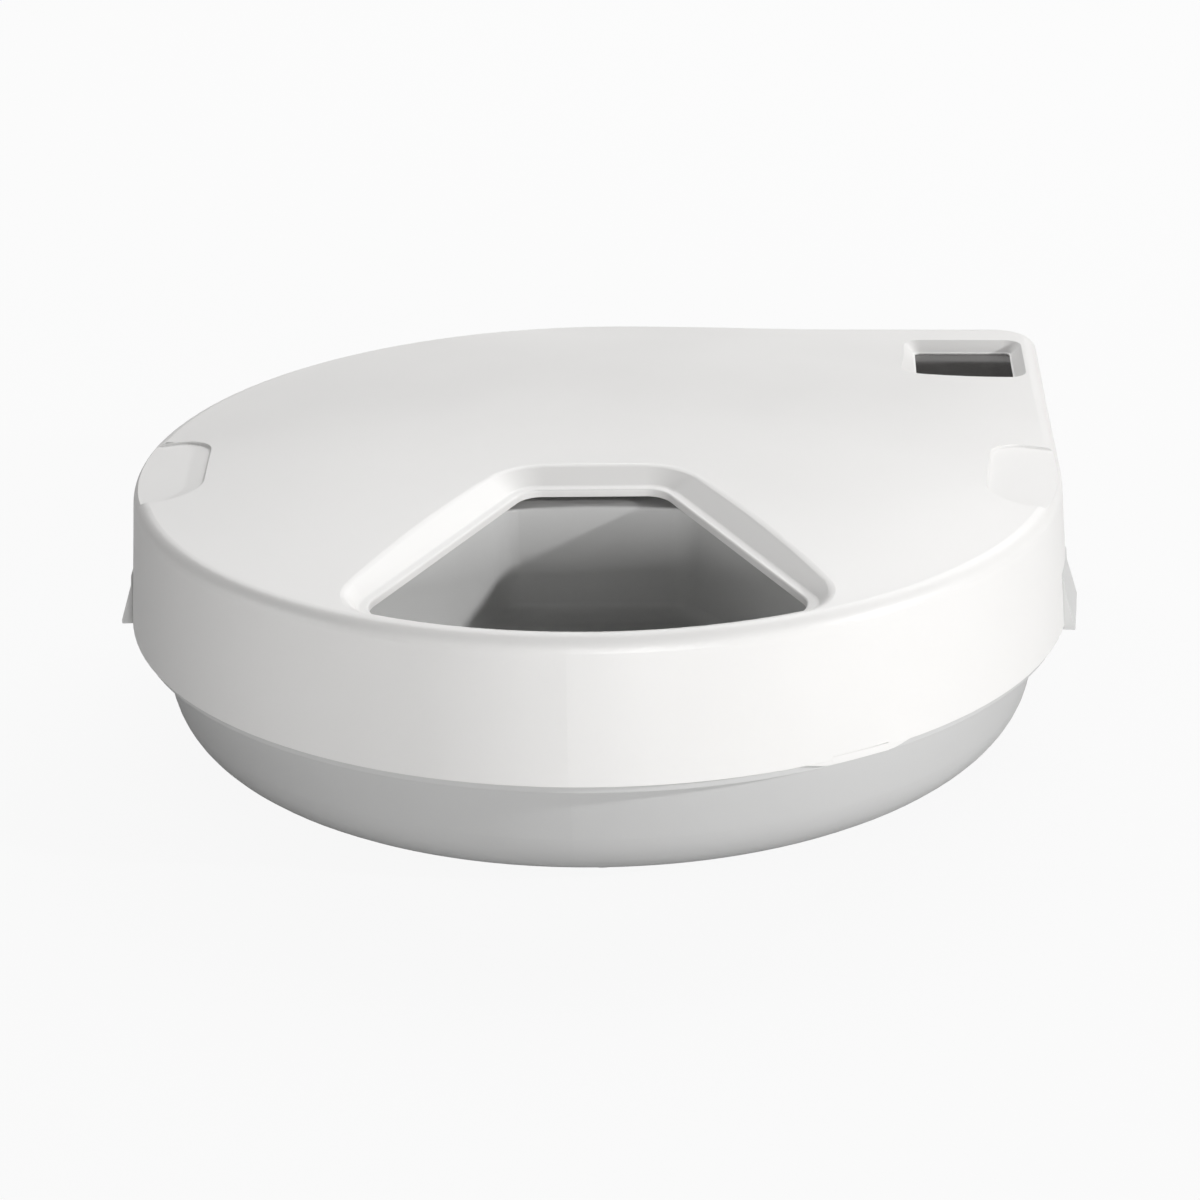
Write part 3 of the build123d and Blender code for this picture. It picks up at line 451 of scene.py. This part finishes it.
# Ice packs: two half rings blow moulded in milky blue polyethylene and filled with gel, lying in
# the tray's well. A white screw-in plug closes each filling hole.


def milky_plastic(name, colour, roughness, depth):
    """A translucent plastic that light sinks into, with the faint ripple of a blown wall."""
    material = bpy.data.materials.new(name)
    material.use_nodes = True
    nodes = material.node_tree.nodes
    links = material.node_tree.links
    shader = nodes["Principled BSDF"]
    shader.inputs["Subsurface Weight"].default_value = 0.6
    shader.inputs["Subsurface Radius"].default_value = (0.5, 0.8, 1.0)
    shader.inputs["Subsurface Scale"].default_value = depth
    place = nodes.new("ShaderNodeTexCoord")
    gel = nodes.new("ShaderNodeTexNoise")
    gel.inputs["Scale"].default_value = 35.0
    gel.inputs["Detail"].default_value = 5.0
    tint = nodes.new("ShaderNodeMix")
    tint.data_type = "RGBA"
    tint.inputs["A"].default_value = (*[0.85 * part for part in colour], 1)
    tint.inputs["B"].default_value = (*[min(1.0, 1.1 * part) for part in colour], 1)
    gloss = nodes.new("ShaderNodeMapRange")
    gloss.inputs["To Min"].default_value = 0.8 * roughness
    gloss.inputs["To Max"].default_value = 1.2 * roughness
    ripple = nodes.new("ShaderNodeTexNoise")
    ripple.inputs["Scale"].default_value = 260.0
    ripple.inputs["Detail"].default_value = 3.0
    bump = nodes.new("ShaderNodeBump")
    bump.inputs["Strength"].default_value = 0.5
    bump.inputs["Distance"].default_value = 0.00012
    links.new(place.outputs["Object"], gel.inputs["Vector"])
    links.new(place.outputs["Object"], ripple.inputs["Vector"])
    links.new(gel.outputs["Fac"], tint.inputs["Factor"])
    links.new(tint.outputs["Result"], shader.inputs["Base Color"])
    links.new(gel.outputs["Fac"], gloss.inputs["Value"])
    links.new(gloss.outputs["Result"], shader.inputs["Roughness"])
    links.new(ripple.outputs["Fac"], bump.inputs["Height"])
    links.new(bump.outputs["Normal"], shader.inputs["Normal"])
    return material


ice_blue = milky_plastic("ice_blue", (0.30, 0.56, 0.76), 0.36, 0.004)
plug_white = milky_plastic("plug_white", (0.80, 0.81, 0.82), 0.4, 0.0015)
for side in ("right", "left"):
    dress("ice_pack_" + side, ice_blue)
    dress("ice_plug_" + side, plug_white)

# Bowl: one smooth grey moulding of food-grade polypropylene with five dished compartments round a
# hollow hub. It lifts off the spindle to be washed, so its surface is glossier than the tub's.
bowl_plastic = moulded_plastic("bowl_plastic", (0.60, 0.60, 0.595), 0.23, grain=0.0012,
                               relief=0.000002)
dress("bowl", bowl_plastic)

# Lid: a domed white cover in semi-gloss polystyrene, with a bevelled meal opening, a sunken place
# for the display window and a thumb recess over each catch.
lid_plastic = moulded_plastic("lid_plastic", (0.83, 0.822, 0.81), 0.42, grain=0.0009,
                              relief=0.000012)
dress("lid", lid_plastic)

# Lifting tab: a thumb's width of the lid's lower edge that hangs lower at the right front, so that
# the lid can be prised up. It is moulded with the lid and fades into the band at both ends.
tab_angle = math.radians(-56.5)
tab_proud = 0.00005
tab_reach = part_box("lid")[1][1] + tab_proud
tab_foot = 0.0377
tab_height = 0.0028
tab_depth = 0.00115
tab_half = 0.0096
tab_fade = 0.0085
tab_drop = 0.0014
tab_tuck = 0.0004
tab_sweep = 2 * (tab_half + tab_fade) / tab_reach
clear_bench()
bpy.ops.mesh.primitive_plane_add(size=1, rotation=(math.pi / 2, 0, 0),
                                 location=(tab_reach - tab_depth / 2, 0, tab_foot + tab_height / 2))
lift_tab = bpy.context.object
lift_tab.name = "lift_tab"
lift_tab.scale = (tab_depth, tab_height, 1)
bpy.ops.object.transform_apply(location=True, rotation=True, scale=True)
bpy.ops.object.mode_set(mode="EDIT")
bpy.ops.mesh.select_mode(type="VERT")
bpy.ops.mesh.select_all(action="DESELECT")
tab_cage = bmesh.from_edit_mesh(lift_tab.data)
for corner in tab_cage.verts:
    if corner.co.x > tab_reach - 0.0001 and corner.co.z > tab_foot + tab_height - 0.0001:
        corner.select_set(True)
bmesh.update_edit_mesh(lift_tab.data)
bpy.ops.transform.translate(value=(-tab_tuck, 0, 0))
bpy.ops.mesh.select_mode(type="FACE")
bpy.ops.mesh.select_all(action="SELECT")
bpy.ops.mesh.spin(steps=48, angle=tab_sweep, center=(0, 0, 0), axis=(0, 0, 1))
bpy.ops.mesh.select_all(action="SELECT")
bpy.ops.mesh.remove_doubles(threshold=0.00001)
bpy.ops.mesh.normals_make_consistent(inside=False)
pick_faces(lift_tab, lambda middle, normal: normal.z < -0.9 and abs(
    abs(math.atan2(middle.y, middle.x)) - tab_sweep / 2) < tab_half / tab_reach)
bpy.ops.transform.translate(value=(0, 0, -tab_drop), use_proportional_edit=True,
                            proportional_edit_falloff="SMOOTH", proportional_size=tab_fade)
bpy.ops.object.mode_set(mode="OBJECT")
tab_middle = sum(math.atan2(spot.co.y, spot.co.x) for spot in lift_tab.data.vertices)
tab_middle /= len(lift_tab.data.vertices)
lift_tab.data.transform(Matrix.Rotation(tab_angle - tab_middle, 4, "Z"))
ease_edges(lift_tab, 0.0002, turns=2)
lift_tab.data.materials.append(lid_plastic)
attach(lift_tab, "lid")

# Display window: a pane of smoke-tinted acrylic glued under the lid's recess. It is polished, and
# fine dust and hairlines break its reflection slightly.
smoked = bpy.data.materials.new("smoked_acrylic")
smoked.use_nodes = True
smoked_nodes = smoked.node_tree.nodes
smoked_links = smoked.node_tree.links
smoked_shader = smoked_nodes["Principled BSDF"]
smoked_shader.inputs["IOR"].default_value = 1.49
smoked_shader.inputs["Transmission Weight"].default_value = 0.25
smoked_place = smoked_nodes.new("ShaderNodeTexCoord")
smoke = smoked_nodes.new("ShaderNodeTexNoise")
smoke.inputs["Scale"].default_value = 90.0
smoke.inputs["Detail"].default_value = 6.0
smoke_tint = smoked_nodes.new("ShaderNodeMix")
smoke_tint.data_type = "RGBA"
smoke_tint.inputs["A"].default_value = (0.062, 0.059, 0.057, 1)
smoke_tint.inputs["B"].default_value = (0.075, 0.072, 0.069, 1)
polish = smoked_nodes.new("ShaderNodeMapRange")
polish.inputs["To Min"].default_value = 0.08
polish.inputs["To Max"].default_value = 0.2
smoked_links.new(smoked_place.outputs["Object"], smoke.inputs["Vector"])
smoked_links.new(smoke.outputs["Fac"], smoke_tint.inputs["Factor"])
smoked_links.new(smoke_tint.outputs["Result"], smoked_shader.inputs["Base Color"])
smoked_links.new(smoke.outputs["Fac"], polish.inputs["Value"])
smoked_links.new(polish.outputs["Result"], smoked_shader.inputs["Roughness"])
dress("display_window", smoked)

# Catches: two grey plates that fill the notches in the lid's band and hang on steel pins at their
# top edge. Their feet flare out for a fingertip and hook under the tub's lip.
catch_plastic = moulded_plastic("catch_plastic", (0.64, 0.64, 0.634), 0.42)
for side in ("left", "right"):
    dress("catch_" + side, catch_plastic)
dress("catch_pins", bright_steel)

# Floor and light: a pale seamless sweep. A small lamp low on the right throws the edge of shadow
# across the bowl, two soft ones behind light the lid's top, and low ones fill the sides.
clear_bench()
bpy.ops.mesh.primitive_plane_add(size=8.0, location=(0, 0, 0))
floor = bpy.context.object
floor.name = "floor"
paper = bpy.data.materials.new("paper_sweep")
paper.use_nodes = True
paper_nodes = paper.node_tree.nodes
paper_links = paper.node_tree.links
paper_shader = paper_nodes["Principled BSDF"]
paper_shader.inputs["Base Color"].default_value = (0.5, 0.5, 0.5, 1)
paper_shader.inputs["Roughness"].default_value = 0.9
white = paper_nodes.new("ShaderNodeEmission")
white.inputs["Strength"].default_value = 1.0
light_path = paper_nodes.new("ShaderNodeLightPath")
share = paper_nodes.new("ShaderNodeMath")
share.operation = "MULTIPLY"
share.inputs[1].default_value = 0.92
blend = paper_nodes.new("ShaderNodeMixShader")
paper_links.new(light_path.outputs["Is Camera Ray"], share.inputs[0])
paper_links.new(share.outputs["Value"], blend.inputs["Fac"])
paper_links.new(paper_shader.outputs["BSDF"], blend.inputs[1])
paper_links.new(white.outputs["Emission"], blend.inputs[2])
paper_links.new(blend.outputs["Shader"], paper_nodes["Material Output"].inputs["Surface"])
floor.data.materials.append(paper)

world = bpy.data.worlds.new("studio")
bpy.context.scene.world = world
world.use_nodes = True
studio = world.node_tree.nodes["Background"]
studio.inputs["Color"].default_value = (1, 1, 1, 1)
studio.inputs["Strength"].default_value = 0.05
lamp_aim = Vector((0, 0, 0.04))


def soft_box(name, turn, lift, away, width, power):
    """A square lamp at a direction and distance from the feeder, turned towards it."""
    flat = away * math.cos(math.radians(lift))
    place = lamp_aim + Vector((flat * math.cos(math.radians(turn)),
                               flat * math.sin(math.radians(turn)),
                               away * math.sin(math.radians(lift))))
    box = bpy.data.lights.new(name, "AREA")
    box.shape = "SQUARE"
    box.size = width
    box.energy = power
    holder = bpy.data.objects.new(name, box)
    bpy.context.scene.collection.objects.link(holder)
    holder.location = place
    holder.rotation_euler = (lamp_aim - place).to_track_quat("-Z", "Y").to_euler()


soft_box("key", -20.0, 18.5, 1.6, 0.06, 12.0)
soft_box("rear_left", 112.0, 44.0, 1.7, 1.1, 12.5)
soft_box("rear_right", 60.0, 44.0, 1.7, 1.1, 17.5)
soft_box("left", 195.0, 8.0, 1.5, 0.5, 3.0)
soft_box("front", -78.0, 5.0, 1.5, 0.4, 12.0)

bpy.context.scene.view_settings.view_transform = "Standard"
